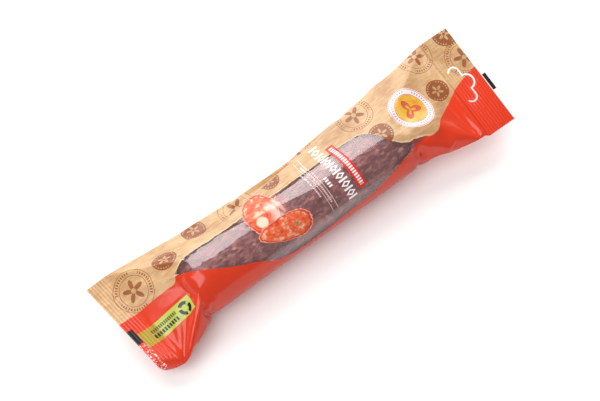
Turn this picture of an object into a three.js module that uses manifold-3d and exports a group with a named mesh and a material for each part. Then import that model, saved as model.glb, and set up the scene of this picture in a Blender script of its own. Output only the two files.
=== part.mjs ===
// A cured sausage sealed in a printed flow-wrap packet, in millimetres, +Z up.
// The packet lies on its back seal. +X runs along it to the end with the hanging slit,
// +Y to its paper-coloured side, and the origin is at the middle of its underside.
import * as THREE from "three";
import Module from "manifold-3d";
import { mergeVertices } from "three/addons/utils/BufferGeometryUtils.js";

const wasm = await Module();
wasm.setup();

// Sausage
const SAUSAGE_RADIUS = 24;
const SAUSAGE_LENGTH = 204; // between the shoulders where the casing gathers
const SAUSAGE_X = -15; // middle of the sausage along the packet
const END_DEPTH = 17; // how far each rounded end reaches in from its shoulder
const NECK_RADIUS = 3.2; // gathered casing under the clip
const NECK_LENGTH = 5;
const TAIL_RADIUS = 4.6; // frayed casing past the clip
const TAIL_LENGTH = 5;
const SAUSAGE_SIDES = 44;

// Clips that close the casing
const CLIP_WALL = 2;
const CLIP_WIDTH = 3;
const CLIP_SIDES = 28;

// Film: one web of 180 mm, folded round and closed along the back by a fin
const WALL = 0.3;
const GAP = 0.3; // clearance between neighbours
const GIRTH = 180;
const PACKET_LENGTH = 334;
const LEFT_SEAL = 16;
const RIGHT_SEAL = 29;
const LEFT_SEAL_HEIGHT = 22; // of the seal above the surface that the packet lies on
const RIGHT_SEAL_HEIGHT = 31;
const LEFT_TOE = THREE.MathUtils.degToRad(5); // each end is cut square, but lies a little askew
const RIGHT_TOE = THREE.MathUtils.degToRad(-4);
const SECTION_POINTS = 44;
const TAPER_STATIONS = 9;
const BODY_STATIONS = 8;
const FLAT_DEPTH = 2; // how much of the round section is pressed flat underneath

// Fin along the back
const FIN_ROOT = -5.8;
const FIN_EDGE = 5.5;
const FIN_STEP = -9.5; // where the web steps down from the tube to the fin
const SLIVER = 0.02; // edges shorter than this are closed up after the joins
const MOUTH = 3; // the walls of the tube meet this far short of each seal

// Crimped ribs of the end seals
const RIB_PITCH = 2.4;
const RIB_HEIGHT = 0.35;

// Hanging slit: a brim, a dome towards the packet's end, and a hooked tip at each side
const SLIT_WIDTH = 1.4;
const SLIT_X = 150.5; // of the brim's line
const BRIM_HALF = 11.5;
const TIP_RADIUS = 4.2;
const DOME_RADIUS = 6;

// Heights, from the surface up
const FIN_STACK = 2 * GAP + 2 * WALL;
const TUBE_BOTTOM = FIN_STACK;
const SAUSAGE_Z = TUBE_BOTTOM + WALL + GAP + SAUSAGE_RADIUS;
const TUBE_TOP = SAUSAGE_Z + SAUSAGE_RADIUS + GAP + WALL;
const BODY_HALF_HEIGHT = (TUBE_TOP - TUBE_BOTTOM + FLAT_DEPTH) / 2;
const BODY_START = SAUSAGE_X - SAUSAGE_LENGTH / 2 + END_DEPTH / 3;
const BODY_END = SAUSAGE_X + SAUSAGE_LENGTH / 2 - END_DEPTH / 3;
const TUBE_START = -PACKET_LENGTH / 2 + LEFT_SEAL - 1;
const TUBE_END = PACKET_LENGTH / 2 - RIGHT_SEAL + 1;

const smooth = (t) => t * t * (3 - 2 * t);
const mix = (a, b, t) => a + (b - a) * t;

function solid(geometry) {
  const bare = geometry.index ? geometry.toNonIndexed() : geometry.clone();
  bare.deleteAttribute("normal");
  bare.deleteAttribute("uv");
  const merged = mergeVertices(bare, 1e-4);
  return new wasm.Manifold(
    new wasm.Mesh({
      numProp: 3,
      vertProperties: merged.attributes.position.array,
      triVerts: new Uint32Array(merged.index.array),
    }),
  );
}

function geometryOf(manifold) {
  const mesh = manifold.getMesh();
  const geometry = new THREE.BufferGeometry();
  geometry.setAttribute("position", new THREE.BufferAttribute(mesh.vertProperties, 3));
  geometry.setIndex(new THREE.BufferAttribute(mesh.triVerts, 1));
  geometry.computeVertexNormals();
  return geometry;
}

// A closed body through rings of points, each ring [[x, y, z], ...] running the same way round.
function loft(rings) {
  const count = rings[0].length;
  const points = rings.flat(2);
  const faces = [];
  for (let i = 0; i + 1 < rings.length; i++) {
    for (let j = 0; j < count; j++) {
      const a = i * count + j;
      const b = i * count + ((j + 1) % count);
      faces.push(a, b, a + count, b, b + count, a + count);
    }
  }
  const last = (rings.length - 1) * count;
  for (const [ring, start, flipped] of [[rings[0], 0, true], [rings.at(-1), last, false]]) {
    const outline = ring.map(([, y, z]) => new THREE.Vector2(y, z));
    for (const [a, b, c] of THREE.ShapeUtils.triangulateShape(outline, [])) {
      faces.push(start + a, start + (flipped ? c : b), start + (flipped ? b : c));
    }
  }
  const geometry = new THREE.BufferGeometry();
  geometry.setAttribute("position", new THREE.Float32BufferAttribute(points, 3));
  geometry.setIndex(faces);
  return geometry;
}

// Half width of an ellipse of this half height whose perimeter is the film's girth.
function halfWidth(halfHeight) {
  let low = halfHeight;
  let high = GIRTH / 4;
  for (let i = 0; i < 40; i++) {
    const a = (low + high) / 2;
    const h = ((a - halfHeight) / (a + halfHeight)) ** 2;
    const perimeter = Math.PI * (a + halfHeight) * (1 + (3 * h) / (10 + Math.sqrt(4 - 3 * h)));
    if (perimeter < GIRTH) low = a;
    else high = a;
  }
  return (low + high) / 2;
}

// The film tube's outer section at x: its half height, its middle's height and its underside.
function sectionAt(x) {
  let taper = 0;
  let sealHeight = LEFT_SEAL_HEIGHT;
  if (x < BODY_START) taper = (BODY_START - x) / (BODY_START - TUBE_START);
  if (x > BODY_END) {
    taper = (x - BODY_END) / (TUBE_END - BODY_END);
    sealHeight = RIGHT_SEAL_HEIGHT;
  }
  const fall = mix(smooth(taper), taper, 0.6);
  const halfHeight = mix(BODY_HALF_HEIGHT, WALL, fall);
  const bodyMiddle = TUBE_TOP - BODY_HALF_HEIGHT;
  const middle = mix(bodyMiddle, sealHeight, smooth(taper));
  const flat = FLAT_DEPTH * (1 - fall);
  return { halfHeight, middle, bottom: middle - halfHeight + flat };
}

// The end seals lie askew, so everything past the body is sheared along X by its Y.
function askew(x, y) {
  if (x < BODY_START) {
    return x - y * Math.tan(LEFT_TOE) * smooth(Math.min(1, (BODY_START - x) / (BODY_START - TUBE_START)));
  }
  if (x > BODY_END) {
    return x - y * Math.tan(RIGHT_TOE) * smooth(Math.min(1, (x - BODY_END) / (TUBE_END - BODY_END)));
  }
  return x;
}

function stations(start, end) {
  const list = [];
  for (let i = 0; i < TAPER_STATIONS; i++) list.push(mix(start, BODY_START, i / TAPER_STATIONS));
  for (let i = 0; i < BODY_STATIONS; i++) list.push(mix(BODY_START, BODY_END, i / BODY_STATIONS));
  for (let i = 0; i <= TAPER_STATIONS; i++) list.push(mix(BODY_END, end, i / TAPER_STATIONS));
  return list;
}

// Points [y, z] round the tube at x, this far inside its outer face, from one side of the fin's root
// over the top to the other side.
function roundTube(x, inset, from, to) {
  const { halfHeight, middle, bottom } = sectionAt(x);
  const wide = halfWidth(halfHeight) - 1.5 * inset;
  const start = -Math.acos(from / wide);
  const end = -2 * Math.PI - Math.acos(to / wide);
  return Array.from({ length: SECTION_POINTS }, (_, i) => {
    const angle = mix(start, end, i / (SECTION_POINTS - 1));
    const z = middle + (halfHeight - inset) * Math.sin(angle);
    return [wide * Math.cos(angle), Math.max(z, bottom + inset)];
  });
}

// The web's section at x, as one closed outline: the fin's lower ply, the tube and the fin's upper ply.
function webRing(x) {
  const { bottom } = sectionAt(x);
  const lowerPly = bottom - FIN_STACK;
  const upperPly = bottom - GAP;
  const outside = [
    [FIN_EDGE, lowerPly],
    [FIN_ROOT - 1, lowerPly],
    ...roundTube(x, 0, FIN_STEP, FIN_ROOT),
    [FIN_ROOT, upperPly],
    [FIN_EDGE, upperPly],
  ];
  const inside = [
    [FIN_EDGE, lowerPly + WALL],
    [FIN_ROOT - 1, lowerPly + WALL],
    ...roundTube(x, WALL, FIN_STEP, FIN_ROOT - WALL),
    [FIN_ROOT - WALL, upperPly - WALL],
    [FIN_EDGE, upperPly - WALL],
  ];
  return [...inside, ...outside.reverse()].map(([y, z]) => [askew(x, y), y, z]);
}

// Where the tube closes on itself: a plug between its walls that thins into the seal.
function plug(mouth, inner, sealEnd) {
  const at = (x, tall, wide) => {
    const { middle } = sectionAt(x);
    return Array.from({ length: SECTION_POINTS }, (_, i) => {
      const angle = (i / SECTION_POINTS) * 2 * Math.PI;
      const y = wide * Math.cos(angle);
      return [askew(x, y), y, middle + tall * Math.sin(angle)];
    });
  };
  const { halfHeight } = sectionAt(mouth);
  const tall = halfHeight - WALL / 2;
  const wide = halfWidth(halfHeight) - WALL;
  const rings = [at(inner, tall, wide), at(mouth, tall, wide), at(sealEnd, WALL / 2, GIRTH / 4 - 1)];
  return solid(loft(inner > sealEnd ? rings.reverse() : rings));
}

// A crimped end seal: a thin wavy plate, as wide as the flattened web.
function seal(start, length, height, toe) {
  const ribs = Math.round(length / RIB_PITCH);
  const top = [];
  const bottom = [];
  for (let i = 0; i <= 2 * ribs; i++) {
    const x = start + (i / (2 * ribs)) * length;
    const wave = i % 2 ? RIB_HEIGHT : 0;
    top.push(new THREE.Vector2(x, height + WALL + wave));
    bottom.unshift(new THREE.Vector2(x, height - WALL + wave));
  }
  const width = GIRTH / 2;
  const plate = new THREE.ExtrudeGeometry(new THREE.Shape([...top, ...bottom]), {
    depth: width,
    bevelEnabled: false,
  });
  plate.rotateX(Math.PI / 2);
  plate.translate(0, width / 2, 0);
  const shear = new THREE.Matrix4().makeShear(0, 0, -Math.tan(toe), 0, 0, 0);
  return solid(plate.applyMatrix4(shear));
}

// The hanging slit's line, in the seal's plane: hooked tip, brim, dome, brim, hooked tip.
function slitLine() {
  const path = new THREE.Path();
  const half = BRIM_HALF;
  path.absarc(-TIP_RADIUS, -half, TIP_RADIUS, Math.PI * 1.15, Math.PI * 2, false);
  path.lineTo(0, -DOME_RADIUS);
  path.absarc(0, 0, DOME_RADIUS, -Math.PI / 2, Math.PI / 2, false);
  path.lineTo(0, half);
  path.absarc(-TIP_RADIUS, half, TIP_RADIUS, 0, Math.PI * 0.85, false);
  return path.getPoints(7);
}

function slit() {
  const line = slitLine();
  const sides = [[], []];
  line.forEach((point, i) => {
    const before = line[Math.max(i - 1, 0)];
    const after = line[Math.min(i + 1, line.length - 1)];
    const across = after.clone().sub(before).normalize().multiplyScalar(SLIT_WIDTH / 2);
    sides[0].push(new THREE.Vector2(point.x - across.y, point.y + across.x));
    sides[1].unshift(new THREE.Vector2(point.x + across.y, point.y - across.x));
  });
  const cutter = new THREE.ExtrudeGeometry(new THREE.Shape([...sides[0], ...sides[1]]), {
    depth: 6,
    bevelEnabled: false,
  });
  cutter.translate(SLIT_X, 0, RIGHT_SEAL_HEIGHT - 3);
  return solid(cutter);
}

function film() {
  const [start, end] = [TUBE_START + MOUTH, TUBE_END - MOUTH];
  return solid(loft(stations(start, end).map(webRing)))
    .add(plug(start, start + 1.5, TUBE_START))
    .add(plug(end, end - 1.5, TUBE_END))
    .add(seal(-PACKET_LENGTH / 2, LEFT_SEAL, LEFT_SEAL_HEIGHT, LEFT_TOE))
    .add(seal(PACKET_LENGTH / 2 - RIGHT_SEAL, RIGHT_SEAL, RIGHT_SEAL_HEIGHT, RIGHT_TOE))
    .subtract(slit())
    .simplify(SLIVER);
}

// Half of the sausage's profile, from its middle to the tail: distance from the axis, distance along it.
function sausageProfile() {
  const half = SAUSAGE_LENGTH / 2;
  const profile = [new THREE.Vector2(SAUSAGE_RADIUS, 0), new THREE.Vector2(SAUSAGE_RADIUS, half * 0.45)];
  const steps = 12;
  for (let i = 0; i <= steps; i++) {
    const angle = (i / steps) * (Math.PI / 2);
    const radius = mix(NECK_RADIUS, SAUSAGE_RADIUS, Math.cos(angle) ** 0.75);
    profile.push(new THREE.Vector2(radius, half - END_DEPTH + END_DEPTH * Math.sin(angle)));
  }
  profile.push(new THREE.Vector2(NECK_RADIUS, half + NECK_LENGTH));
  profile.push(new THREE.Vector2(TAIL_RADIUS, half + NECK_LENGTH + TAIL_LENGTH * 0.5));
  profile.push(new THREE.Vector2(TAIL_RADIUS * 0.9, half + NECK_LENGTH + TAIL_LENGTH));
  profile.push(new THREE.Vector2(0, half + NECK_LENGTH + TAIL_LENGTH));
  return profile;
}

function sausage() {
  const half = sausageProfile();
  const other = half.slice(1).map((p) => new THREE.Vector2(p.x, -p.y)).reverse();
  const geometry = new THREE.LatheGeometry([...other, ...half], SAUSAGE_SIDES);
  geometry.rotateZ(-Math.PI / 2);
  return geometryOf(solid(geometry));
}

// A wire clip pressed shut round the gathered casing: a rounded band, squarer outside than in.
function clip() {
  const inner = NECK_RADIUS + GAP;
  const outer = inner + CLIP_WALL;
  const outline = new THREE.Shape();
  for (let i = 0; i < CLIP_SIDES; i++) {
    const angle = (i / CLIP_SIDES) * 2 * Math.PI;
    const squarer = outer * (1 + 0.06 * Math.cos(4 * angle + Math.PI));
    const point = [squarer * Math.cos(angle), squarer * Math.sin(angle)];
    if (i === 0) outline.moveTo(...point);
    else outline.lineTo(...point);
  }
  outline.closePath();
  const hole = new THREE.Path();
  hole.absarc(0, 0, inner, 0, 2 * Math.PI, true);
  outline.holes.push(hole);
  const geometry = new THREE.ExtrudeGeometry(outline, {
    depth: CLIP_WIDTH - 1.2,
    bevelThickness: 0.6,
    bevelSize: 0.5,
    bevelOffset: -0.5,
    bevelSegments: 2,
    curveSegments: 20,
  });
  geometry.translate(0, 0, -(CLIP_WIDTH - 1.2) / 2);
  geometry.rotateY(Math.PI / 2);
  return geometryOf(solid(geometry));
}

const meat = new THREE.MeshStandardMaterial({ color: 0x5a2a24, roughness: 0.5, metalness: 0 });
const aluminium = new THREE.MeshStandardMaterial({ color: 0xc9cacc, roughness: 0.35, metalness: 0.9 });
const printedFilm = new THREE.MeshStandardMaterial({ color: 0xdcb98a, roughness: 0.25, metalness: 0 });

function part(name, geometry, material, x, z) {
  const mesh = new THREE.Mesh(geometry, material);
  mesh.name = name;
  mesh.position.set(x, 0, z);
  return mesh;
}

const packet = new THREE.Group();
const clipOffset = SAUSAGE_LENGTH / 2 + NECK_LENGTH / 2;
packet.add(part("sausage", sausage(), meat, SAUSAGE_X, SAUSAGE_Z));
packet.add(part("clip_left", clip(), aluminium, SAUSAGE_X - clipOffset, SAUSAGE_Z));
packet.add(part("clip_right", clip(), aluminium, SAUSAGE_X + clipOffset, SAUSAGE_Z));
packet.add(part("film_wrapper", geometryOf(film()), printedFilm, 0, 0));

export default packet;
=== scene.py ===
"""A cured sausage sealed in a printed flow-wrap packet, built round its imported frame.

Everything is in metres in the frame's own axes: +X along the packet to the end with the hanging slit,
+Y to the paper-coloured side and +Z up. The film is one web, and its print is laid out on that flat web.
"""

import logging
import math
from dataclasses import dataclass, field
from enum import Enum

import bpy
import numpy as np
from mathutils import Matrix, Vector


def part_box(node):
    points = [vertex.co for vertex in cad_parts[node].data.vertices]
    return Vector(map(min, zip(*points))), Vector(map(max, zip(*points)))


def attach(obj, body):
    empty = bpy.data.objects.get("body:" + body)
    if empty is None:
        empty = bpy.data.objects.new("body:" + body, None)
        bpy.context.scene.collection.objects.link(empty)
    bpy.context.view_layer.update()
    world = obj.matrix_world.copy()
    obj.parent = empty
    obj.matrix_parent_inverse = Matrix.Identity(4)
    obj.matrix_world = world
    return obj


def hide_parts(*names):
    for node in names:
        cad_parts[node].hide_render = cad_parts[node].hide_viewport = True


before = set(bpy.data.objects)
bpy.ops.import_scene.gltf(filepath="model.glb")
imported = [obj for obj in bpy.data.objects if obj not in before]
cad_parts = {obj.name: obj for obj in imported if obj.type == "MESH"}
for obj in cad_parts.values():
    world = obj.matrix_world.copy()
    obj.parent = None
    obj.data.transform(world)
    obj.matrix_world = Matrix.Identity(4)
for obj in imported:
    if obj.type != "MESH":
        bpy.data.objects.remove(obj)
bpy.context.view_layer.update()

MM = 0.001
NEARLY = 1e-3  # millimetres, for places that are the same but for rounding

log = logging.getLogger("packet")


# Helpers that the sub-assemblies share


def deselect_all() -> None:
    """Deselect every object, so that the next operator acts on one piece only."""
    bpy.ops.object.select_all(action="DESELECT")


def activate(piece: bpy.types.Object) -> None:
    """Select one object and make it the active one.

    Args:
        piece: The object.
    """
    deselect_all()
    piece.select_set(True)
    bpy.context.view_layer.objects.active = piece


def coordinates(piece: bpy.types.Object) -> np.ndarray:
    """Read a mesh's vertices.

    Args:
        piece: The mesh object.

    Returns:
        An array with one row of x, y and z per vertex.
    """
    flat = np.zeros(len(piece.data.vertices) * 3, np.float32)
    piece.data.vertices.foreach_get("co", flat)
    return flat.reshape(-1, 3).astype(float)


def set_coordinates(piece: bpy.types.Object, points: np.ndarray) -> None:
    """Write a mesh's vertices, one row of x, y and z each."""
    piece.data.vertices.foreach_set("co", points.astype(np.float32).ravel())
    piece.data.update()


def apply_modifiers(piece: bpy.types.Object) -> None:
    """Apply all of a piece's modifiers, from the first to the last.

    Args:
        piece: The mesh object, which keeps none of them.
    """
    activate(piece)
    for modifier in list(piece.modifiers):
        bpy.ops.object.modifier_apply(modifier=modifier.name)


def face_outwards(piece: bpy.types.Object) -> None:
    """Turn all of a piece's faces outwards.

    Args:
        piece: The mesh object, which becomes the active one.
    """
    activate(piece)
    bpy.ops.object.mode_set(mode="EDIT")
    bpy.ops.mesh.select_all(action="SELECT")
    bpy.ops.mesh.normals_make_consistent(inside=False)
    bpy.ops.object.mode_set(mode="OBJECT")


def smooth_step(share: np.ndarray | float) -> np.ndarray | float:
    """Ease a share from 0 to 1 with level ends."""
    share = np.clip(share, 0, 1)
    return share * share * (3 - 2 * share)


# Node formulas, which the finishes share


def linear(code: str) -> tuple[float, float, float, float]:
    """Turn a screen colour such as "E8C79A" into the linear colour that a node holds."""
    parts = [int(code[i : i + 2], 16) / 255 for i in (0, 2, 4)]
    return (*(p / 12.92 if p <= 0.04045 else ((p + 0.055) / 1.055) ** 2.4 for p in parts), 1.0)


class Field:
    """A number that varies over a surface, with sums written as in a formula."""

    def __init__(self, graph: "Graph", socket: bpy.types.NodeSocket) -> None:
        """Hold a node's output in its graph."""
        self.graph = graph
        self.socket = socket

    def __add__(self, other: "Number") -> "Field":
        """Add."""
        return self.graph.math("ADD", self, other)

    def __sub__(self, other: "Number") -> "Field":
        """Subtract."""
        return self.graph.math("SUBTRACT", self, other)

    def __rsub__(self, other: "Number") -> "Field":
        """Subtract from a plain number."""
        return self.graph.math("SUBTRACT", other, self)

    def __mul__(self, other: "Number") -> "Field":
        """Multiply."""
        return self.graph.math("MULTIPLY", self, other)

    def __neg__(self) -> "Field":
        """Change the sign."""
        return self * -1

    def __abs__(self) -> "Field":
        """Drop the sign."""
        return self.graph.math("ABSOLUTE", self)

    def __and__(self, other: "Field") -> "Field":
        """Keep what both masks cover."""
        return self * other

    def __or__(self, other: "Field") -> "Field":
        """Keep what either mask covers."""
        return self.graph.math("MAXIMUM", self, other)

    def sine(self) -> "Field":
        """Take the sine of an angle in radians."""
        return self.graph.math("SINE", self)

    def repeat(self, period: float) -> "Field":
        """Fold the line into cells, each running from -period/2 to period/2."""
        return self.graph.math("WRAP", self, period / 2, -period / 2)

    def under(self, limit: "Number", soft: float = 0.2) -> "Field":
        """Cover where this is less than the limit, with an edge as soft as given.

        Args:
            limit: The highest number that is covered.
            soft: The width over which the cover fades.

        Returns:
            The cover, from 0 to 1.
        """
        gap = limit - self if isinstance(limit, Field) else None
        if gap is None:
            return self.graph.math("MULTIPLY_ADD", self, -1 / soft, limit / soft + 0.5, clamp=True)
        return self.graph.math("MULTIPLY_ADD", gap, 1 / soft, 0.5, clamp=True)

    def over(self, limit: "Number", soft: float = 0.2) -> "Field":
        """Cover where this is more than the limit, with an edge as soft as given.

        Args:
            limit: The lowest number that is covered.
            soft: The width over which the cover fades.

        Returns:
            The cover, from 0 to 1.
        """
        gap = self - limit if isinstance(limit, Field) else None
        if gap is None:
            return self.graph.math("MULTIPLY_ADD", self, 1 / soft, 0.5 - limit / soft, clamp=True)
        return self.graph.math("MULTIPLY_ADD", gap, 1 / soft, 0.5, clamp=True)

    def between(self, low: float, high: float, soft: float = 0.2) -> "Field":
        """Cover where this lies from low to high."""
        return abs(self - (low + high) / 2).under((high - low) / 2, soft)


Number = Field | float
Colour = tuple[float, float, float, float]


class Graph:
    """A material's node tree, written as formulas."""

    def __init__(self, name: str) -> None:
        """Start an empty material.

        Args:
            name: The material's name.
        """
        self.material = bpy.data.materials.new(name)
        self.material.use_nodes = True
        self.tree = self.material.node_tree
        self.tree.nodes.clear()

    def node(self, kind: str, **settings: object) -> bpy.types.Node:
        """Add a node and set its properties.

        Args:
            kind: The node's type.
            **settings: Its properties.

        Returns:
            The node.
        """
        node = self.tree.nodes.new(kind)
        for name, value in settings.items():
            setattr(node, name, value)
        return node

    def plug(self, socket: bpy.types.NodeSocket, value: object) -> None:
        """Link a field or a node's output to a socket, or set a plain value on it.

        Args:
            socket: The input to fill.
            value: The field, the output or the plain value.
        """
        if isinstance(value, Field):
            value = value.socket
        if isinstance(value, bpy.types.NodeSocket):
            self.tree.links.new(value, socket)
        else:
            socket.default_value = value

    def math(self, operation: str, *values: Number, clamp: bool = False) -> Field:
        """Add one sum.

        Args:
            operation: The Math node's operation.
            *values: What it works on, in order.
            clamp: Whether the result is kept from 0 to 1.

        Returns:
            The result.
        """
        node = self.node("ShaderNodeMath", operation=operation, use_clamp=clamp)
        for socket, value in zip(node.inputs, values):
            self.plug(socket, value)
        return Field(self, node.outputs[0])

    def vector(self, x: Number, y: Number, z: Number = 0.0) -> bpy.types.NodeSocket:
        """Join three numbers in one vector.

        Args:
            x: The first number.
            y: The second one.
            z: The third one.

        Returns:
            The vector's socket.
        """
        node = self.node("ShaderNodeCombineXYZ")
        for socket, value in zip(node.inputs, (x, y, z)):
            self.plug(socket, value)
        return node.outputs[0]

    def noise(
        self, where: bpy.types.NodeSocket, scale: float, detail: float = 3, rough: float = 0.5
    ) -> Field:
        """Add soft noise from 0 to 1.

        Args:
            where: The coordinates that it reads.
            scale: How fine it is.
            detail: How many finer layers it has.
            rough: How strong those are.

        Returns:
            The noise.
        """
        node = self.node("ShaderNodeTexNoise")
        self.plug(node.inputs["Vector"], where)
        for name, value in (("Scale", scale), ("Detail", detail), ("Roughness", rough)):
            self.plug(node.inputs[name], value)
        return Field(self, node.outputs[0])

    def cells(self, where: bpy.types.NodeSocket, scale: float, feature: str = "F1") -> Field:
        """Add a cell pattern's distance: from each cell's middle, or from its edge.

        Args:
            where: The coordinates that it reads.
            scale: How fine it is.
            feature: Which distance it gives.

        Returns:
            The distance, in cells.
        """
        node = self.node("ShaderNodeTexVoronoi", feature=feature)
        self.plug(node.inputs["Vector"], where)
        self.plug(node.inputs["Scale"], scale)
        return Field(self, node.outputs["Distance"])

    def blend(self, cover: Number, below: object, above: object) -> bpy.types.NodeSocket:
        """Lay one colour over another.

        Args:
            cover: How much of the upper one shows, from 0 to 1.
            below: The lower colour, or a node's output.
            above: The upper colour, or a node's output.

        Returns:
            The mixed colour.
        """
        node = self.node("ShaderNodeMix", data_type="RGBA")
        for socket, value in zip((node.inputs[0], node.inputs[6], node.inputs[7]), (cover, below, above)):
            self.plug(socket, value)
        return node.outputs[2]

    def bump(self, height: Field, distance: float, strength: float = 1.0) -> bpy.types.NodeSocket:
        """Turn a height from 0 to 1 into a bumpy normal, its full height given in metres.

        Args:
            height: The height.
            distance: The full height in metres.
            strength: How far the normal follows it.

        Returns:
            The normal.
        """
        node = self.node("ShaderNodeBump")
        self.plug(node.inputs["Strength"], strength)
        self.plug(node.inputs["Distance"], distance)
        self.plug(node.inputs["Height"], height)
        return node.outputs[0]

    def shader(self, kind: str, **inputs: object) -> bpy.types.NodeSocket:
        """Add a shader, with its sockets' names in lower case and _ for a space.

        Args:
            kind: The shader node's type.
            **inputs: Its inputs.

        Returns:
            The shader's output.
        """
        node = self.node(kind)
        for name, value in inputs.items():
            self.plug(node.inputs[name.replace("_", " ").title().replace("Ior", "IOR")], value)
        return node.outputs[0]

    def mix_shaders(
        self, share: Number, first: bpy.types.NodeSocket, second: bpy.types.NodeSocket
    ) -> bpy.types.NodeSocket:
        """Mix two shaders, the share being the second one's.

        Args:
            share: The second shader's share.
            first: The first shader.
            second: The second shader.

        Returns:
            The mixed shader.
        """
        node = self.node("ShaderNodeMixShader")
        for socket, value in zip(node.inputs, (share, first, second)):
            self.plug(socket, value)
        return node.outputs[0]

    def finish(self, surface: bpy.types.NodeSocket) -> bpy.types.Material:
        """Put the last shader on the material's output, and give the material."""
        self.plug(self.node("ShaderNodeOutputMaterial").inputs["Surface"], surface)
        return self.material


# The print on the film


class StampStyle(Enum):
    """How a round stamp is printed on the paper pattern."""

    RINGS = "rings"
    DISC = "disc"


@dataclass(frozen=True)
class Stamp:
    """One round stamp: its place along and across the web, its radius, its turn in degrees and its style."""

    along: float
    across: float
    radius: float
    turn: float = 0.0
    style: StampStyle = StampStyle.RINGS


@dataclass(frozen=True)
class SlicePicture:
    """One pictured slice of sausage, in millimetres on the flat web, with a round spot on its face."""

    middle: tuple[float, float]
    half_sizes: tuple[float, float]
    turn: float  # in degrees
    taper: float  # how much narrower it grows with each millimetre along it, as a share
    spot: tuple[float, float]
    spot_radius: float
    spot_colour: Colour


@dataclass(frozen=True)
class WebPoint:
    """The point of the flat web that a material is colouring: millimetres along it and across it."""

    graph: Graph
    where: bpy.types.NodeSocket
    along: Field
    across: Field

    def turned(self, middle: tuple[float, float], degrees: float) -> tuple[Field, Field]:
        """Measure from a point of the web, in axes turned by an angle.

        Args:
            middle: The point to measure from.
            degrees: How far the axes are turned.

        Returns:
            Millimetres along the first axis and along the second.
        """
        c, s = math.cos(math.radians(degrees)), math.sin(math.radians(degrees))
        u, v = self.along - middle[0], self.across - middle[1]
        return u * c + v * s, v * c - u * s

    def distance(self, place: tuple[float, float]) -> Field:
        """Measure the distance from a place on the web.

        Args:
            place: Millimetres along the web and across it.

        Returns:
            The distance in millimetres.
        """
        node = self.graph.node("ShaderNodeVectorMath", operation="DISTANCE")
        self.graph.plug(node.inputs[0], self.where)
        self.graph.plug(node.inputs[1], (*place, 0))
        return Field(self.graph, node.outputs["Value"])


Layers = list[tuple[Field, object]]  # covers with their colours, from the lowest


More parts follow.
